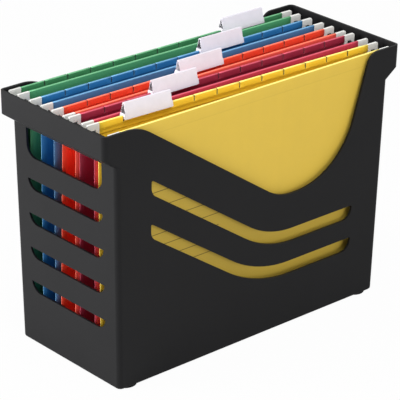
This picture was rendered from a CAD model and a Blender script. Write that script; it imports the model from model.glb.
"""Dresses the portable file box and its five hanging files, and lights them in a plain studio.

The sizes of pieces are in millimetres and become metres when a mesh is made. Finishes, lamps and
the camera are in metres.
X runs along the box, -Y is its front and +Z is up; the origin is the middle of its footprint.
"""

import logging
import math
from dataclasses import dataclass
from enum import Enum
from typing import Any

import bmesh
import bpy
import numpy as np
from mathutils import Matrix, Vector


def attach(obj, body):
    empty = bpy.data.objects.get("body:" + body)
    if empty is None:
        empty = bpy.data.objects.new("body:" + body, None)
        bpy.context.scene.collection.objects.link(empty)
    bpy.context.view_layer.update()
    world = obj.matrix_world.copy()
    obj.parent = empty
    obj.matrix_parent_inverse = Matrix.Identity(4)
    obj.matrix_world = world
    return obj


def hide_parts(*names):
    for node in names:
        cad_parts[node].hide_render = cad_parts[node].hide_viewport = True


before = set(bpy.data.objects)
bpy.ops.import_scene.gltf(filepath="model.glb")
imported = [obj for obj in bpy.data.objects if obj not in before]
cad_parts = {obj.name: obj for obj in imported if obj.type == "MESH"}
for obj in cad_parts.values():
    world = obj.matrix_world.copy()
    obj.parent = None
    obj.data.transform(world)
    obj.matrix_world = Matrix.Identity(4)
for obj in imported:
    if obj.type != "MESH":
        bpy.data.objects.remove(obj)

LOG = logging.getLogger("file_box")
MM = 0.001
WHITE = (1.0, 1.0, 1.0, 1.0)
Colour = tuple[float, float, float]
Scales = tuple[float, float, float]


class Side(Enum):
    """Which leaf of a file is meant, and the way it faces along Y."""

    FRONT = -1
    REAR = 1

    @property
    def word(self) -> str:
        """The side's word in the names of nodes."""
        return self.name.lower()


def srgb(red: float, green: float, blue: float) -> Colour:
    """Turns screen values into the linear values that a shader takes, by the sRGB curve.

    Args:
        red: Screen red, from 0 to 255.
        green: Screen green.
        blue: Screen blue.

    Returns:
        Linear red, green and blue from 0 to 1.
    """
    values = np.array([red, green, blue]) / 255.0
    linear = np.where(values <= 0.04045, values / 12.92, ((values + 0.055) / 1.055) ** 2.4)
    return tuple(float(v) for v in linear)


def toned(colour: Colour, factor: float) -> Colour:
    """A linear colour times a factor, with no channel over 1."""
    return tuple(min(1.0, c * factor) for c in colour)


# ---------------------------------------------------------------- shader tools


class Wire:
    """A shader value that can be used in sums: each operator adds one Math node."""

    def __init__(self, board: "NodeBoard", socket: Any) -> None:
        """Keeps the board and the output socket that carries the value."""
        self.board = board
        self.socket = socket

    def _join(self, operation: str, first: Any, second: Any = None) -> "Wire":
        """Adds a Math node.

        Args:
            operation: Blender's name for the sum.
            first: First value or wire.
            second: Second value or wire, if the sum has one.

        Returns:
            The result as a wire.
        """
        sockets = {0: first} if second is None else {0: first, 1: second}
        return self.board.add("ShaderNodeMath", {"operation": operation}, sockets)

    def __add__(self, other: Any) -> "Wire":
        """This value plus another."""
        return self._join("ADD", self, other)

    __radd__ = __add__

    def __sub__(self, other: Any) -> "Wire":
        """This value less another."""
        return self._join("SUBTRACT", self, other)

    def __rsub__(self, other: Any) -> "Wire":
        """Another value less this one."""
        return self._join("SUBTRACT", other, self)

    def __mul__(self, other: Any) -> "Wire":
        """This value times another."""
        return self._join("MULTIPLY", self, other)

    __rmul__ = __mul__

    def __abs__(self) -> "Wire":
        """This value without its sign."""
        return self._join("ABSOLUTE", self)

    def swing(self, width: float) -> "Wire":
        """This value, which runs from 0 to 1, as a swing of that whole width about 0."""
        return (self - 0.5) * width

    def rises(self, start: float, end: float) -> "Wire":
        """Smooth step of this value.

        Args:
            start: Value at which the step is still 0.
            end: Value at which the step has reached 1.

        Returns:
            0 before start, 1 after end and a smooth rise between them.
        """
        settings = {"interpolation_type": "SMOOTHSTEP"}
        sockets = {"Value": self, "From Min": start, "From Max": end}
        return self.board.add("ShaderNodeMapRange", settings, sockets)


class NodeBoard:
    """Builds the node tree of one material or world."""

    def __init__(self, tree: bpy.types.NodeTree) -> None:
        """Takes a node tree and empties it."""
        self.tree = tree
        tree.nodes.clear()

    def make(
        self,
        kind: str,
        settings: dict[str, Any] | None = None,
        sockets: dict[Any, Any] | None = None,
    ) -> bpy.types.Node:
        """Adds one node.

        Args:
            kind: Node type.
            settings: Node properties, set first.
            sockets: Values or wires for inputs, by name or number.

        Returns:
            The node.
        """
        node = self.tree.nodes.new(kind)
        for name, value in (settings or {}).items():
            setattr(node, name, value)
        for name, value in (sockets or {}).items():
            if isinstance(value, Wire):
                self.tree.links.new(value.socket, node.inputs[name])
            else:
                node.inputs[name].default_value = value
        return node

    def add(
        self,
        kind: str,
        settings: dict[str, Any] | None = None,
        sockets: dict[Any, Any] | None = None,
        output: Any = 0,
    ) -> Wire:
        """Adds one node and returns one of its outputs.

        Args:
            kind: Node type.
            settings: Node properties.
            sockets: Values or wires for inputs.
            output: Name or number of the output.

        Returns:
            The output as a wire.
        """
        return Wire(self, self.make(kind, settings, sockets).outputs[output])

    def point(self) -> Wire:
        """Position on the object, in metres."""
        return self.add("ShaderNodeTexCoord", output="Object")

    def axes(self, point: Wire) -> tuple[Wire, Wire, Wire]:
        """X, Y and Z of a position."""
        parts = self.make("ShaderNodeSeparateXYZ", None, {0: point})
        return tuple(Wire(self, parts.outputs[k]) for k in range(3))

    def noise(
        self, point: Wire, scale: float, detail: float = 3.0, roughness: float = 0.55
    ) -> Wire:
        """Fractal noise from about 0 to 1.

        Args:
            point: Where it is read.
            scale: Cells per metre.
            detail: Octaves.
            roughness: Strength of each finer octave.

        Returns:
            The noise value.
        """
        values = {"Vector": point, "Scale": scale, "Detail": detail, "Roughness": roughness}
        return self.add("ShaderNodeTexNoise", None, values, "Fac")

    def drawn_noise(
        self, point: Wire, scales: Scales, detail: float = 3.0, roughness: float = 0.55
    ) -> Wire:
        """Fractal noise that is drawn out, as fibres and brush marks are.

        Args:
            point: Where it is read.
            scales: Cells per metre along X, Y and Z.
            detail: Octaves.
            roughness: Strength of each finer octave.

        Returns:
            The noise value.
        """
        sockets = {"Vector": point, "Scale": scales}
        drawn = self.add("ShaderNodeMapping", {"vector_type": "POINT"}, sockets)
        return self.noise(drawn, 1.0, detail, roughness)

    def mix(self, share: Any, first: Any, second: Any) -> Wire:
        """Blends two colours.

        Args:
            share: 0 for the first colour, 1 for the second.
            first: Colour or wire.
            second: Colour or wire.

        Returns:
            The blended colour.
        """
        def full(value: Any) -> Any:
            """A colour with its alpha, or the wire unchanged."""
            return value if isinstance(value, Wire) else (*value, 1.0)

        settings = {"data_type": "RGBA", "clamp_factor": True}
        return self.add("ShaderNodeMix", settings, {0: share, 6: full(first), 7: full(second)}, 2)

    def tones(self, share: Any, colour: Colour, darkest: float, lightest: float = 1.0) -> Wire:
        """Runs a colour between two tones of itself.

        Args:
            share: 0 for the darkest tone, 1 for the lightest.
            colour: The colour.
            darkest: Factor of the darkest tone.
            lightest: Factor of the lightest tone.

        Returns:
            The colour's tone.
        """
        return self.mix(share, toned(colour, darkest), toned(colour, lightest))

    def bump(self, height: Wire, depth: float, strength: float) -> Wire:
        """Turns a height from 0 to 1 into a surface normal.

        Args:
            height: Height field.
            depth: Its depth in metres.
            strength: Share of the effect.

        Returns:
            The normal.
        """
        sockets = {"Strength": strength, "Distance": depth, "Height": height}
        return self.add("ShaderNodeBump", None, sockets)

    def surface(self, sockets: dict[str, Any]) -> None:
        """Ends the tree in a Principled shader with these inputs."""
        shader = self.add("ShaderNodeBsdfPrincipled", None, sockets)
        self.make("ShaderNodeOutputMaterial", None, {"Surface": shader})


def new_board(name: str) -> tuple[bpy.types.Material, NodeBoard]:
    """Makes an empty material.

    Args:
        name: Its name.

    Returns:
        The material and the board that builds its nodes.
    """
    material = bpy.data.materials.new(name)
    material.use_nodes = True
    return material, NodeBoard(material.node_tree)


# ---------------------------------------------------------------- finishes


@dataclass(frozen=True)
class MouldedPlastic:
    """Dark moulded plastic with a fine grain, faint cloudiness and flow marks."""

    name: str
    colour: Colour
    darkest: float = 0.88
    lightest: float = 1.18
    roughness: float = 0.36
    roughness_swing: float = 0.10
    specular: float = 0.12
    cloud_scale: float = 14.0
    cloud_share: float = 0.7
    streak_scales: Scales = (60.0, 60.0, 7.0)
    grain: float = 0.00035
    grain_depth: float = 0.00002
    grain_strength: float = 0.7

    def build(self) -> bpy.types.Material:
        """Clouds and streaks tone the colour, clouds and grain the roughness; grain is the bump."""
        material, board = new_board(self.name)
        point = board.point()
        clouds = board.noise(point, self.cloud_scale)
        streaks = board.drawn_noise(point, self.streak_scales, 2.0)
        grain = board.noise(point, 1.0 / self.grain, 2.0, 0.6)
        tone = clouds * self.cloud_share + streaks * (1.0 - self.cloud_share)
        swing = clouds.swing(self.roughness_swing) + grain.swing(self.roughness_swing)
        board.surface({
            "Base Color": board.tones(tone, self.colour, self.darkest, self.lightest),
            "Roughness": swing + self.roughness,
            "Specular IOR Level": self.specular,
            "Normal": board.bump(grain, self.grain_depth, self.grain_strength),
        })
        return material


@dataclass(frozen=True)
class CardStock:
    """Dyed card: fibres, soft mottling, a paler top edge, the line of the hem and ruled lines.

    A line is given by the half widths within which it is full and beyond which it has gone.
    """

    name: str
    colour: Colour
    edge: Colour
    top_z: float
    hem_z: float = 0.0
    ruled: tuple[float, ...] = ()
    ruled_to: float = 0.0

    darkest: float = 0.90
    lightest: float = 1.08
    roughness: float = 0.62
    roughness_swing: float = 0.16
    specular: float = 0.35
    fibre_scales: Scales = (500.0, 1800.0, 1800.0)
    mottle_scale: float = 60.0
    band_scales: Scales = (55.0, 20.0, 6.0)
    tone_shares: tuple[float, float, float] = (0.35, 0.4, 0.25)
    fibre_relief: float = 0.6
    relief_depth: float = 0.00004
    relief_strength: float = 0.6
    hem_line: tuple[float, float] = (0.0002, 0.0009)
    hem_tone: float = 0.62
    hem_share: float = 0.14
    hem_groove: float = 1.5
    ruled_line: tuple[float, float] = (0.00025, 0.0005)
    ruled_tone: float = 0.14
    ruled_share: float = 0.85
    ruled_groove: float = 1.2
    ruled_fade: float = 0.001
    crest_band: tuple[float, float] = (0.0008, 0.0002)
    crest_share: float = 0.85

    def build(self) -> bpy.types.Material:
        """Fibres are noise drawn out along X; the edge and the lines are smooth bands in height."""
        material, board = new_board(self.name)
        point = board.point()
        x, _, z = board.axes(point)
        fibres = board.drawn_noise(point, self.fibre_scales, 3.0, 0.6)
        mottle = board.noise(point, self.mottle_scale, 4.0)
        bands = board.drawn_noise(point, self.band_scales, 2.0)
        of_fibres, of_mottle, of_bands = self.tone_shares
        tone = fibres * of_fibres + mottle * of_mottle + bands * of_bands
        shade = board.tones(tone, self.colour, self.darkest, self.lightest)
        height = fibres * self.fibre_relief + mottle * (1.0 - self.fibre_relief)
        if self.hem_z:
            line = 1.0 - abs(z - self.hem_z).rises(*self.hem_line)
            shade = board.mix(line * self.hem_share, shade, toned(self.colour, self.hem_tone))
            height = height - line * self.hem_groove
        if self.ruled:
            lines = [1.0 - abs(z - level).rises(*self.ruled_line) for level in self.ruled]
            reach = 1.0 - x.rises(self.ruled_to, self.ruled_to + self.ruled_fade)
            marks = sum(lines[1:], lines[0]) * reach
            shade = board.mix(marks * self.ruled_share, shade, toned(self.colour, self.ruled_tone))
            height = height - marks * self.ruled_groove
        start, end = self.crest_band
        crest = z.rises(self.top_z - start, self.top_z - end)
        board.surface({
            "Base Color": board.mix(crest * self.crest_share, shade, self.edge),
            "Roughness": mottle.swing(self.roughness_swing) + self.roughness,
            "Specular IOR Level": self.specular,
            "Normal": board.bump(height, self.relief_depth, self.relief_strength),
        })
        return material


@dataclass(frozen=True)
class CutEdge:
    """Raw edge of card, paler and rougher than its face."""

    name: str
    colour: Colour
    darkest: float = 0.6
    smoothest: float = 0.72
    roughness_swing: float = 0.1
    fibre_scales: Scales = (900.0, 3000.0, 900.0)
    relief_depth: float = 0.00005
    relief_strength: float = 0.6

    def build(self) -> bpy.types.Material:
        """A pale colour broken up by coarse fibres."""
        material, board = new_board(self.name)
        fibres = board.drawn_noise(board.point(), self.fibre_scales, 3.0, 0.7)
        board.surface({
            "Base Color": board.tones(fibres, self.colour, self.darkest),
            "Roughness": fibres * self.roughness_swing + self.smoothest,
            "Normal": board.bump(fibres, self.relief_depth, self.relief_strength),
        })
        return material


@dataclass(frozen=True)
class SteelStrip:
    """Rolled steel with lengthwise brush marks and a little darkening."""

    name: str
    colour: Colour
    darkest: float = 0.7
    smoothest: float = 0.28
    roughness_swing: float = 0.2
    mark_scales: Scales = (40.0, 4000.0, 4000.0)
    stain_scale: float = 90.0
    stain_share: float = 0.5
    relief_depth: float = 0.00001
    relief_strength: float = 0.5

    def build(self) -> bpy.types.Material:
        """Brush marks are noise drawn out along X; roughness and colour follow them."""
        material, board = new_board(self.name)
        point = board.point()
        marks = board.drawn_noise(point, self.mark_scales, 3.0, 0.6)
        stains = board.noise(point, self.stain_scale, 4.0)
        tone = stains * self.stain_share + marks * (1.0 - self.stain_share)
        board.surface({
            "Base Color": board.tones(tone, self.colour, self.darkest),
            "Metallic": 1.0,
            "Roughness": marks * self.roughness_swing + self.smoothest,
            "Normal": board.bump(marks, self.relief_depth, self.relief_strength),
        })
        return material


@dataclass(frozen=True)
class PalePlastic:
    """Pale injection-moulded plastic, either solid or milky and partly see-through."""

    name: str
    colour: Colour
    roughness: float
    alpha: float = 1.0
    darkest: float = 0.93
    roughness_swing: float = 0.12
    alpha_swing: float = 0.08
    specular: float = 0.5
    cloud_scale: float = 120.0
    sink_scale: float = 400.0
    sink_depth: float = 0.00003
    sink_strength: float = 0.5

    def build(self) -> bpy.types.Material:
        """Faint clouds in the colour and the milkiness, and shallow sink marks in the surface."""
        material, board = new_board(self.name)
        point = board.point()
        clouds = board.noise(point, self.cloud_scale)
        sink = board.noise(point, self.sink_scale, 2.0)
        sockets: dict[str, Any] = {
            "Base Color": board.tones(clouds, self.colour, self.darkest),
            "Roughness": sink.swing(self.roughness_swing) + self.roughness,
            "Specular IOR Level": self.specular,
            "Normal": board.bump(sink, self.sink_depth, self.sink_strength),
        }
        if self.alpha < 1.0:
            sockets["Alpha"] = clouds.swing(self.alpha_swing) + self.alpha
        board.surface(sockets)
        return material


@dataclass(frozen=True)
class LabelPaper:
    """Blank white paper strip with a faint tooth."""

    name: str
    colour: Colour
    darkest: float = 0.95
    smoothest: float = 0.75
    roughness_swing: float = 0.1
    fibre_scales: Scales = (1500.0, 4000.0, 3000.0)
    relief_depth: float = 0.00002
    relief_strength: float = 0.5

    def build(self) -> bpy.types.Material:
        """Fine fibres in colour and bump."""
        material, board = new_board(self.name)
        fibres = board.drawn_noise(board.point(), self.fibre_scales, 3.0, 0.6)
        board.surface({
            "Base Color": board.tones(fibres, self.colour, self.darkest),
            "Roughness": fibres * self.roughness_swing + self.smoothest,
            "Normal": board.bump(fibres, self.relief_depth, self.relief_strength),
        })
        return material


@dataclass(frozen=True)
class FloorFinish:
    """Plain pale floor: the camera sees it white, with a soft shadow under the box."""

    name: str
    colour: Colour = (0.5, 0.5, 0.5)
    darkest: float = 0.99
    cloud_scale: float = 3.0
    glow: float = 0.97

    def build(self) -> bpy.types.Material:
        """Diffuse grey for light; camera rays see a small share of it under an even white glow."""
        material, board = new_board(self.name)
        tone = board.tones(board.noise(board.point(), self.cloud_scale), self.colour, self.darkest)
        lit = board.add("ShaderNodeBsdfDiffuse", None, {"Color": tone})
        glow = board.add("ShaderNodeEmission", None, {"Color": WHITE, "Strength": 1.0})
        eye = board.add("ShaderNodeLightPath", output="Is Camera Ray")
        seen = board.add("ShaderNodeMixShader", None, {0: eye * self.glow, 1: lit, 2: glow})
        board.make("ShaderNodeOutputMaterial", None, {"Surface": seen})
        return material


# ---------------------------------------------------------------- mesh tools


# Corners of a solid's loose triangles that lie closer than this, in metres, are joined
WELD_DISTANCE = 2e-6
# Triangles that meet at less than this angle become one face
FLAT_ANGLE = math.radians(0.4)
# Steps across an eased edge
EDGE_STEPS = 2
# Pull of a face's size on the shading of its corners: at the most, flat faces stay flat
FACE_WEIGHT = 100


def mesh_object(name: str, points: np.ndarray, faces: np.ndarray) -> bpy.types.Object:
    """Makes a smooth-shaded object from arrays.

    Args:
        name: Name of the object and its mesh.
        points: Corner positions in millimetres, shape (n, 3).
        faces: Corner numbers of each four-sided face, shape (m, 4).

    Returns:
        The object, at the origin, with its place in its mesh.
    """
    mesh = bpy.data.meshes.new(name)
    mesh.vertices.add(len(points))
    mesh.vertices.foreach_set("co", (points * MM).astype(np.float32).ravel())
    mesh.loops.add(faces.size)
    mesh.loops.foreach_set("vertex_index", faces.astype(np.int32).ravel())
    mesh.polygons.add(len(faces))
    mesh.polygons.foreach_set("loop_start", np.arange(0, faces.size, 4, dtype=np.int32))
    mesh.polygons.foreach_set("use_smooth", np.ones(len(faces), dtype=bool))
    mesh.update(calc_edges=True)
    mesh.validate()
    piece = bpy.data.objects.new(name, mesh)
    bpy.context.scene.collection.objects.link(piece)
    return piece


def grid_faces(rows: int, columns: int, keep: np.ndarray | None = None) -> np.ndarray:
    """Four-sided cells of a grid of points.

    Args:
        rows: Number of points along the first parameter.
        columns: Number of points along the second parameter.
        keep: Which cells to keep, shape (rows - 1, columns - 1).

    Returns:
        Corner numbers, shape (cells, 4).
    """
    first = np.arange(rows * columns).reshape(rows, columns)
    cells = np.stack([first[:-1, :-1], first[1:, :-1], first[1:, 1:], first[:-1, 1:]], axis=-1)
    return cells.reshape(-1, 4) if keep is None else cells[keep]


def eased_copy(node: str, name: str, radius: float, angle: float) -> bpy.types.Object:
    """Copies a solid of the model, joins its triangles and eases its edges.

    Args:
        node: Name of the solid.
        name: Name of the new piece.
        radius: Width of the eased edge in millimetres.
        angle: Smallest angle in degrees that counts as an edge.

    Returns:
        The new piece.
    """
    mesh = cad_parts[node].data.copy()
    mesh.name = name
    shape = bmesh.new()
    shape.from_mesh(mesh)
    bmesh.ops.remove_doubles(shape, verts=shape.verts, dist=WELD_DISTANCE)
    bmesh.ops.dissolve_limit(
        shape, angle_limit=FLAT_ANGLE, verts=shape.verts, edges=shape.edges, delimit={"NORMAL"}
    )
    shape.to_mesh(mesh)
    shape.free()
    mesh.shade_smooth()
    piece = bpy.data.objects.new(name, mesh)
    bpy.context.scene.collection.objects.link(piece)
    edge = piece.modifiers.new("eased edges", "BEVEL")
    edge.width = radius * MM
    edge.segments = EDGE_STEPS
    edge.limit_method = "ANGLE"
    edge.angle_limit = math.radians(angle)
    edge.use_clamp_overlap = True
    weights = piece.modifiers.new("flat faces stay flat", "WEIGHTED_NORMAL")
    weights.weight = FACE_WEIGHT
    weights.keep_sharp = True
    return piece


def coat(piece: bpy.types.Object, *materials: bpy.types.Material) -> None:
    """Gives a piece or a node these materials, in the order of their numbers."""
    piece.data.materials.clear()
    for material in materials:
        piece.data.materials.append(material)


def fit(
    piece: bpy.types.Object, node: str, body: str, slot: str, *materials: bpy.types.Material
) -> None:
    """Puts a new piece in a node's stead.

    Args:
        piece: The piece.
        node: The node that it stands for.
        body: The body that it rides on.
        slot: Its material slot in the part's record.
        materials: Its materials in the order of their numbers.
    """
    coat(piece, *materials)
    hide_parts(node)
    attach(piece, body)


# ---------------------------------------------------------------- the box


@dataclass
class MouldedBox:
    """The moulded box, with softly rounded edges at its rim, its openings and its feet."""

    edge_radius: float = 0.45
    edge_angle: float = 35.0
    finish: MouldedPlastic = MouldedPlastic("box plastic", srgb(25, 25, 26))

    def build(self) -> list[bpy.types.Object]:
        """Builds the shell.

        Returns:
            The shell piece.
        """
        shell = eased_copy("box_body", "box_shell", self.edge_radius, self.edge_angle)
        fit(shell, "box_body", "box", "box_plastic", self.finish.build())
        return [shell]


# ---------------------------------------------------------------- the files


@dataclass(frozen=True)
class FileLook:
    """Colours of one file's card."""

    front: Colour
    rear: Colour
    edge: Colour


@dataclass
class HangingFile:
    """One hanging file: two leaves of card, their bars and hooks, the tab and its label.

    The front and rear places are those of the bars across the box, half way along. The lead is
    how much further back the left end of the file lies than its right end, and the bar's lead is
    how much more the left end of the rear bar does. The knee is how far each leaf, front and
    rear, has come in from its bar where it turns towards the fold, and its ease is the depth of
    the soft bend. Ruled lines are heights. The flap's offset is in thicknesses of card.
    """

    colour: str
    look: FileLook
    front_y: float
    rear_y: float
    lead: float
    slide: float
    knee: tuple[float, float]
    bar_lead: float = 0.0
    ruled: tuple[float, ...] = ()
    ruled_to: float = -40.0

    card_width: float = 322.0
    card: float = 0.4
    fold_z: float = 17.0
    fold_radius: float = 1.5
    fold_gap: float = 0.3
    knee_z: float = 45.0
    knee_ease: float = 5.0
    hem_low: float = 247.5
    top: float = 255.5
    bar_low: float = 249.8
    bar_room: float = 0.15
    hem_half: float = 1.2
    hem_round: float = 0.6
    flap_low: float = 243.5
    flap_start: float = 0.5
    flap_offset: float = 1.04
    slits: int = 11
    slit_pitch: float = 26.9
    slit_width: float = 1.3
    slit_depth: float = 5.6
    hook_edge: float = 0.35
    tab_edge: float = 0.15
    edge_angle: float = 30.0

    columns: int = 41
    close_rows: int = 22
    close_to: float = 75.0
    wide_rows: int = 16
    fold_rows: int = 13
    round_rows: int = 5
    flap_rows: int = 5

    @property
    def crease(self) -> float:
        """Place of the fold across the box."""
        return (self.front_y + self.rear_y) / 2

    def to_box(self, points: np.ndarray) -> np.ndarray:
        """Turns and moves points from the file's own frame, with X along its fold, to the box's.

        Args:
            points: Positions, shape (n, 3).

        Returns:
            Positions in the box's frame, shape (n, 3).
        """
        angle = -math.atan2(self.lead, self.card_width)
        turn = np.array([
            [math.cos(angle), -math.sin(angle), 0.0],
            [math.sin(angle), math.cos(angle), 0.0],
            [0.0, 0.0, 1.0],
        ])
        return points @ turn.T + np.array([self.slide, self.crease, 0.0])

    def sheet_out(self, out: np.ndarray, heights: np.ndarray, side: Side) -> np.ndarray:
        """Distance of the hanging sheet from the fold's plane.

        It is the lesser of two straight lines, from the fold to the knee and from the knee to
        the hem, with a soft bend where they cross.

        Args:
            out: Distance of the bar from the fold's plane, one value for each column.
            heights: Heights at which the distance is wanted.
            side: Which leaf.

        Returns:
            Distances, shape (columns, rows).
        """
        start = self.fold_radius - self.card / 2
        top = out[:, None] + self.hem_half - self.card / 2
        bend = top - self.knee[0 if side is Side.FRONT else 1]
        low_share = (heights[None, :] - self.fold_z) / (self.knee_z - self.fold_z)
        high_share = (heights[None, :] - self.knee_z) / (self.hem_low - self.knee_z)
        low = start + (bend - start) * low_share
        high = bend + (top - bend) * high_share
        share = np.clip(0.5 + 0.5 * (high - low) / self.knee_ease, 0.0, 1.0)
        return high + (low - high) * share - self.knee_ease * share * (1.0 - share)

    def section(self, side: Side, out: np.ndarray) -> tuple[np.ndarray, np.ndarray]:
        """Middle line of the card: the fold, the sheet, round the bar and down the glued flap.

        Args:
            side: Which leaf.
            out: Distance of the bar from the fold's plane for each column.

        Returns:
            Distances from the fold's plane, shape (columns, rows), and heights, shape (rows,).
        """
        half = self.hem_half - self.card / 2
        crest = self.top - self.card / 2
        r = self.hem_round - self.card / 2
        low = self.fold_z + (0.0 if side is Side.REAR else self.fold_gap)
        close = np.linspace(low, self.close_to, self.close_rows)
        wide = np.linspace(self.close_to, self.hem_low, self.wide_rows)
        sheet = np.concatenate([close, wide[1:]])
        quarter = np.linspace(0.0, np.pi / 2, self.round_rows)
        outs: list[np.ndarray] = []
        heights: list[np.ndarray] = []
        if side is Side.REAR:
            bend = np.linspace(np.pi, 0.0, self.fold_rows)[:-1]
            radius = self.fold_radius - self.card / 2
            outs.append(np.ones_like(out)[:, None] * (radius * np.cos(bend))[None, :])
            heights.append(self.fold_z - radius * np.sin(bend))
        outs.append(self.sheet_out(out, sheet, side))
        heights.append(sheet)
        slit_z = self.top - self.slit_depth
        outs.append(out[:, None] + half * np.ones(2)[None, :])
        heights.append(np.array([slit_z, crest - r]))
        outs.append(out[:, None] + (half - r + r * np.cos(quarter[1:]))[None, :])
        heights.append(crest - r + r * np.sin(quarter[1:]))
        outs.append(out[:, None] + (-(half - r) - r * np.sin(quarter))[None, :])
        heights.append(crest - r + r * np.cos(quarter))
        outs.append(out[:, None] - half * np.ones(2)[None, :])
        heights.append(np.array([slit_z, self.bar_low - self.bar_room]))
        down = np.linspace(self.hem_low - self.flap_start, self.flap_low, self.flap_rows)
        outs.append(self.sheet_out(out, down, side) - self.flap_offset * self.card)
        heights.append(down)
        return np.concatenate(outs, axis=1), np.concatenate(heights)

    def leaf(self, side: Side) -> bpy.types.Object:
        """Builds one leaf: the section carried along the file, with slits in a rear hem.

        Args:
            side: Which leaf.

        Returns:
            The leaf, one card thick.
        """
        rear = side is Side.REAR
        half = self.card_width / 2
        columns = np.linspace(-half, half, self.columns)
        places = (np.arange(self.slits) - self.slits // 2) * self.slit_pitch
        if rear:
            sides = [places - self.slit_width / 2, places + self.slit_width / 2]
            columns = np.sort(np.concatenate([columns, *sides]))
        bar_y = self.rear_y if rear else self.front_y
        bar_lead = self.bar_lead if rear else 0.0
        out = side.value * (bar_y - bar_lead * columns / self.card_width - self.crease)
        outs, heights = self.section(side, out)
        rows = len(heights)
        points = np.stack([
            np.repeat(columns[:, None], rows, axis=1),
            side.value * outs,
            np.repeat(heights[None, :], len(columns), axis=0),
        ], axis=-1)
        keep = None
        if rear:
            middle = (columns[1:] + columns[:-1]) / 2
            nearest = np.abs(middle[:, None] - places[None, :]).min(axis=1)
            level = (heights[1:] + heights[:-1]) / 2
            high = level > self.top - self.slit_depth
            keep = ~((nearest < self.slit_width / 2)[:, None] & high[None, :])
        faces = grid_faces(len(columns), rows, keep)
        if not rear:
            faces = faces[:, ::-1]
        name = f"{self.colour}_{side.word}_card"
        piece = mesh_object(name, self.to_box(points.reshape(-1, 3)), faces)
        body = piece.modifiers.new("card thickness", "SOLIDIFY")
        body.thickness = self.card * MM
        body.offset = 0.0
        body.use_even_offset = True
        body.material_offset_rim = 1
        return piece

    def finishes(self) -> dict[str, bpy.types.Material]:
        """Makes this file's card finishes.

        Returns:
            The materials by name.
        """
        front = CardStock(
            f"{self.colour} card, front", self.look.front, self.look.edge, self.top * MM,
            self.flap_low * MM, tuple(z * MM for z in self.ruled), self.ruled_to * MM,
        )
        rear = CardStock(
            f"{self.colour} card, rear", self.look.rear, self.look.edge, self.top * MM
        )
        return {
            "front": front.build(),
            "rear": rear.build(),
            "edge": CutEdge(f"{self.colour} cut edge", self.look.edge).build(),
        }

    def build(self, shared: dict[str, bpy.types.Material]) -> list[bpy.types.Object]:
        """Builds and dresses the whole file.

        Args:
            shared: Finishes that all files share.

        Returns:
            The new pieces.
        """
        own = self.finishes()
        made: list[bpy.types.Object] = []
        for side, body in ((Side.FRONT, "front"), (Side.REAR, "file")):
            stem = f"{self.colour}_{side.word}"
            holder = f"{self.colour}_{body}"
            leaf = self.leaf(side)
            fit(leaf, f"{stem}_leaf", holder, f"{self.colour}_card", own[side.word], own["edge"])
            hooks = eased_copy(f"{stem}_hooks", f"{stem}_clips", self.hook_edge, self.edge_angle)
            fit(hooks, f"{stem}_hooks", holder, "hook_plastic", shared["hook"])
            coat(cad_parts[f"{stem}_bar"], shared["steel"])
            made += [leaf, hooks]
        node = f"{self.colour}_tab"
        tab = eased_copy(node, f"{node}_shell", self.tab_edge, self.edge_angle)
        fit(tab, node, f"{node}_holder", "tab_plastic", shared["tab"])
        coat(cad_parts[f"{self.colour}_label"], shared["paper"])
        return [*made, tab]


# ---------------------------------------------------------------- the studio


@dataclass
class Softbox:
    """One square soft light that points at the middle of the box."""

    name: str
    place: tuple[float, float, float]
    size: float
    power: float
    target: tuple[float, float, float] = (0.0, 0.0, 0.13)

    def build(self) -> None:
        """Adds the light."""
        light = bpy.data.lights.new(self.name, "AREA")
        light.shape = "SQUARE"
        light.size = self.size
        light.energy = self.power
        holder = bpy.data.objects.new(self.name, light)
        holder.location = self.place
        aim = Vector(self.target) - Vector(self.place)
        holder.rotation_euler = aim.to_track_quat("-Z", "Y").to_euler()
        bpy.context.scene.collection.objects.link(holder)


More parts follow.
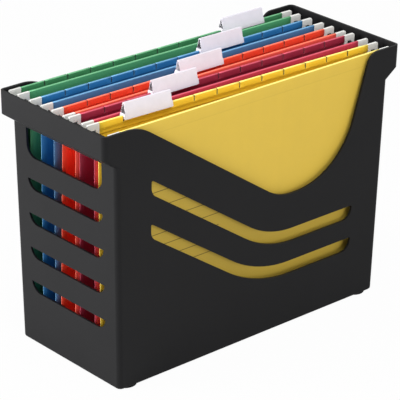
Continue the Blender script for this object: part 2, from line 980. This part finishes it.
@dataclass
class Studio:
    """White room, soft lights and the camera of the photograph.

    The camera's angles are in degrees. Its shift, in metres, moves it sideways and up. The lens
    and the sensor are in millimetres, and so is the floor's half side.
    """

    floor: FloorFinish = FloorFinish("pale floor")
    floor_half: float = 4000.0
    floor_points: int = 9
    room_light: float = 0.55
    azimuth: float = -41.741
    elevation: float = 24.255
    roll: float = 0.749
    distance: float = 2.1781
    shift: tuple[float, float] = (-0.00283, -0.01063)
    target_z: float = 0.132
    lens: float = 205.29
    sensor: float = 36.0
    clip: tuple[float, float] = (0.1, 50.0)
    boxes: tuple[Softbox, ...] = (
        Softbox("overhead", (-0.3, -1.2, 2.4), 1.6, 44.0),
        Softbox("front", (0.1, -2.4, 0.5), 1.2, 16.0),
        Softbox("left", (-2.15, 0.95, 0.75), 1.3, 82.0),
        Softbox("back left", (-1.5, 1.45, 0.35), 1.3, 22.0),
    )

    def camera(self) -> None:
        """Sets the camera where the photograph was taken from."""
        a, e, r = (math.radians(v) for v in (self.azimuth, self.elevation, self.roll))
        back = Vector((math.sin(a) * math.cos(e), -math.cos(a) * math.cos(e), math.sin(e)))
        level = Vector((math.cos(a), math.sin(a), 0.0))
        rise = back.cross(level)
        right = level * math.cos(r) + rise * math.sin(r)
        up = rise * math.cos(r) - level * math.sin(r)
        target = Vector((0.0, 0.0, self.target_z))
        place = target + level * self.shift[0] + rise * self.shift[1] + back * self.distance
        lens = bpy.data.cameras.new("camera")
        lens.lens = self.lens
        lens.sensor_width = self.sensor
        lens.clip_start, lens.clip_end = self.clip
        camera = bpy.data.objects.new("camera", lens)
        bpy.context.scene.collection.objects.link(camera)
        turn = Matrix((right, up, back)).transposed().to_4x4()
        camera.matrix_world = Matrix.Translation(place) @ turn
        bpy.context.scene.camera = camera

    def room(self) -> None:
        """Makes the world: white to the camera, and a soft grey to every other ray."""
        world = bpy.data.worlds.new("room")
        bpy.context.scene.world = world
        world.use_nodes = True
        board = NodeBoard(world.node_tree)
        eye = board.add("ShaderNodeLightPath", output="Is Camera Ray")
        kind = "ShaderNodeBackground"
        dim = board.add(kind, None, {"Color": WHITE, "Strength": self.room_light})
        white = board.add(kind, None, {"Color": WHITE, "Strength": 1.0})
        both = board.add("ShaderNodeMixShader", None, {0: eye, 1: dim, 2: white})
        board.make("ShaderNodeOutputWorld", None, {"Surface": both})

    def ground(self) -> None:
        """Lays the floor."""
        side = np.linspace(-self.floor_half, self.floor_half, self.floor_points)
        x, y = np.meshgrid(side, side, indexing="ij")
        points = np.stack([x, y, np.zeros_like(x)], axis=-1).reshape(-1, 3)
        floor = mesh_object("floor", points, grid_faces(self.floor_points, self.floor_points))
        floor.data.materials.append(self.floor.build())

    def build(self) -> None:
        """Sets up room, floor, lights and camera."""
        self.camera()
        self.room()
        self.ground()
        for box in self.boxes:
            box.build()
        bpy.context.scene.view_settings.view_transform = "Standard"


# ---------------------------------------------------------------- everything


def files() -> tuple[HangingFile, ...]:
    """The five files from front to back.

    Returns:
        The files, with their places in the box.
    """
    yellow = FileLook(srgb(207, 175, 66), srgb(255, 206, 52), srgb(255, 236, 130))
    red = FileLook(srgb(186, 50, 74), srgb(150, 32, 58), srgb(208, 84, 104))
    orange = FileLook(srgb(240, 84, 72), srgb(232, 66, 38), srgb(248, 124, 96))
    blue = FileLook(srgb(66, 114, 162), srgb(34, 110, 168), srgb(110, 165, 205))
    green = FileLook(srgb(70, 148, 98), srgb(56, 128, 82), srgb(112, 180, 132))
    lines = (185.4, 170.2, 156.2, 142.6, 130.1, 117.2, 105.3)
    return (
        HangingFile(
            "yellow", yellow, front_y=-69.1, rear_y=-46.49, lead=0.0, slide=0.8,
            knee=(7.0, 2.0), bar_lead=12.3, ruled=lines,
        ),
        HangingFile(
            "red", red, front_y=-36.38, rear_y=-17.47, lead=6.3, slide=0.8, knee=(1.0, -2.5)
        ),
        HangingFile(
            "orange", orange, front_y=-9.66, rear_y=6.86, lead=2.0, slide=-0.8, knee=(3.0, -6.0)
        ),
        HangingFile(
            "blue", blue, front_y=21.37, rear_y=38.28, lead=3.0, slide=-0.8, knee=(1.0, -1.0)
        ),
        HangingFile(
            "green", green, front_y=55.39, rear_y=68.3, lead=4.4, slide=-0.8, knee=(3.0, 3.0)
        ),
    )


def main() -> None:
    """Builds the studio, the box and the files."""
    logging.basicConfig(level=logging.INFO, format="%(message)s")
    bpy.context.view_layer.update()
    Studio().build()
    shared = {
        "hook": PalePlastic("hook plastic", srgb(226, 226, 222), roughness=0.34).build(),
        "tab": PalePlastic("tab plastic", srgb(240, 236, 245), roughness=0.22, alpha=0.8).build(),
        "steel": SteelStrip("bar steel", srgb(150, 152, 156)).build(),
        "paper": LabelPaper("label paper", srgb(246, 244, 242)).build(),
    }
    made = MouldedBox().build()
    for item in files():
        made += item.build(shared)
    for piece in made:
        LOG.info("%s: %d faces before modifiers", piece.name, len(piece.data.polygons))


if __name__ == "__main__":
    main()
